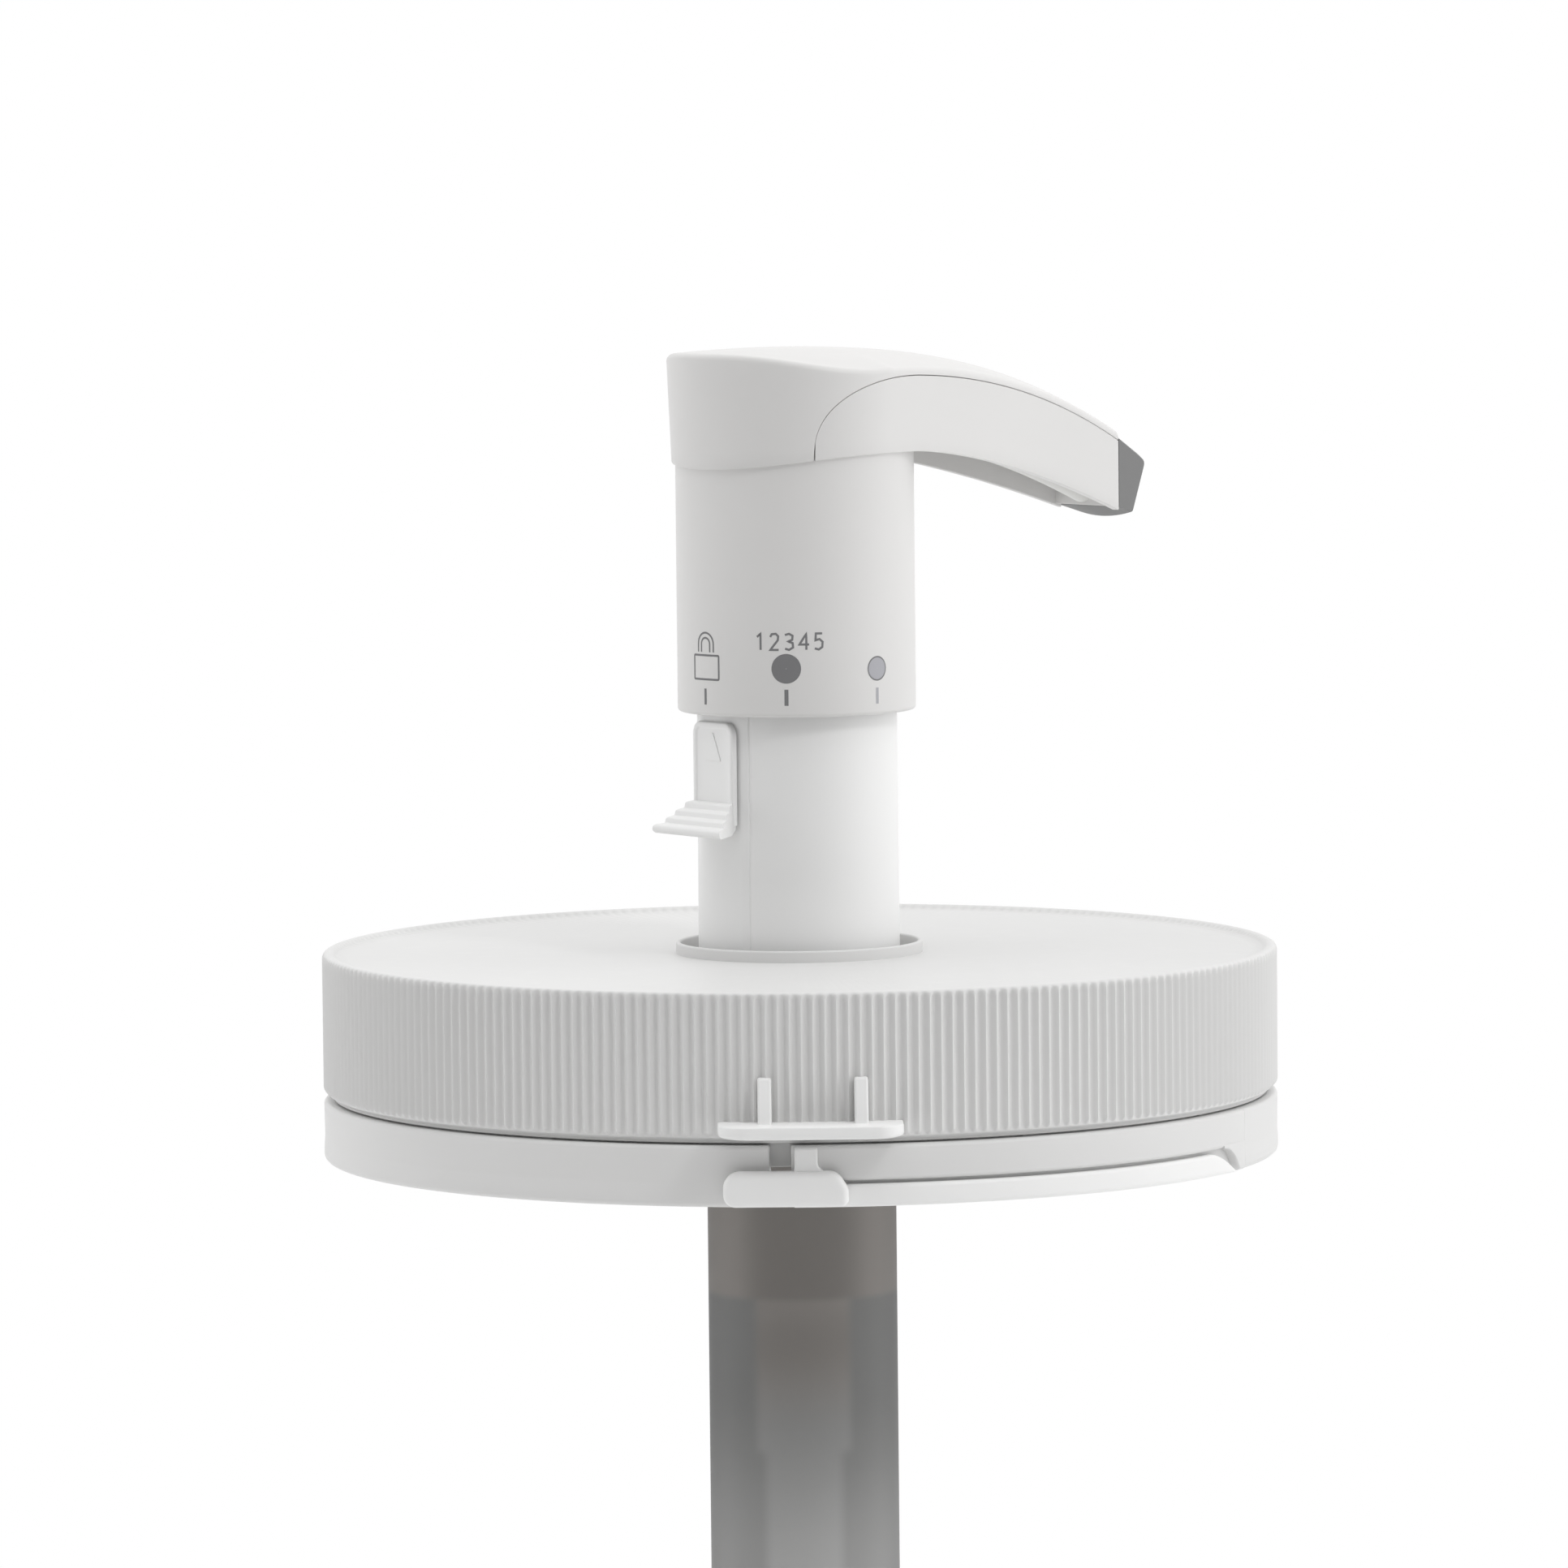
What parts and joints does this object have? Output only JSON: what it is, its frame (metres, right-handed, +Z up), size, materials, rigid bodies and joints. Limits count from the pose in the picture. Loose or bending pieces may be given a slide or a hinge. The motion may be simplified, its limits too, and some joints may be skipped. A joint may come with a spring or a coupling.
{
  "type": "bottle dispenser pump",
  "caption": "Hand dispenser pump on a wide screw lid: turning press head with spout arm, marked sleeve, stop slider, tamper band and long pump cylinder.",
  "frame": {"origin": "on the pump's axis, in the plane of the lid's sealing face", "axes": "+Z up along the pump's axis, -Y to the lid's ledge and tear tab, the arm faces between +X and +Y at rest"},
  "size_m": [0.12, 0.1257, 0.2443],
  "materials": {
    "white_satin": "fine satin polypropylene",
    "white_lid": "satin polypropylene",
    "natural_plastic": "natural polyethylene",
    "frosted_clear": "frosted translucent polypropylene",
    "grey_tip": "satin grey",
    "seal_rubber": "matt elastomer",
    "liner_foam": "foamed polyethylene",
    "spring_steel": "drawn wire"
  },
  "bodies": {
    "base": {"lid_cap": "white_lid", "lid_liner": "liner_foam", "tamper_band": "white_lid", "tear_strip": "white_lid", "column": "white_satin", "column_gasket": "seal_rubber", "column_nut": "white_satin", "column_bush": "natural_plastic", "guide_sleeve": "natural_plastic", "rod_wiper": "seal_rubber", "pump_cylinder": "frosted_clear", "foot_valve_seat": "natural_plastic", "foot_valve_cage": "natural_plastic"},
    "plunger": {"piston_rod": "natural_plastic", "spring_collar": "natural_plastic", "return_spring": "spring_steel", "valve_housing": "natural_plastic", "discharge_seat": "natural_plastic", "lower_rod": "natural_plastic", "piston": "natural_plastic", "piston_seal": "seal_rubber", "piston_retainer": "natural_plastic", "swivel_clip": "spring_steel"},
    "head": {"head_cover": "white_satin", "arm_body": "white_satin", "spout_elbow": "natural_plastic", "spout_tube": "natural_plastic", "nozzle_tip": "grey_tip", "outlet_valve": "seal_rubber", "sleeve": "white_satin"},
    "slider": {"stop_slider": "white_satin"},
    "inlet_valve": {"inlet_ball": "spring_steel"},
    "discharge_valve": {"discharge_ball": "spring_steel"}
  },
  "joints": [
    {"name": "head_press", "type": "slide", "parent": "base", "child": "plunger", "axis": [0, 0, -1], "range_m": [0, 0.0102], "stiffness_N_per_m": 900, "springref_m": -0.004, "deforming": ["return_spring"]},
    {"name": "head_turn", "type": "hinge", "parent": "plunger", "child": "head", "pos_m": [0, 0, 0.06], "axis": [0, 0, 1], "range_deg": [-90, 0]},
    {"name": "slider_slide", "type": "slide", "parent": "base", "child": "slider", "axis": [0, 0, -1], "range_m": [0, 0.006]},
    {"name": "inlet_lift", "type": "slide", "parent": "base", "child": "inlet_valve", "axis": [0, 0, 1], "range_m": [0, 0.0024]},
    {"name": "discharge_lift", "type": "slide", "parent": "plunger", "child": "discharge_valve", "axis": [0, 0, 1], "range_m": [0, 0.0024]}
  ]
}
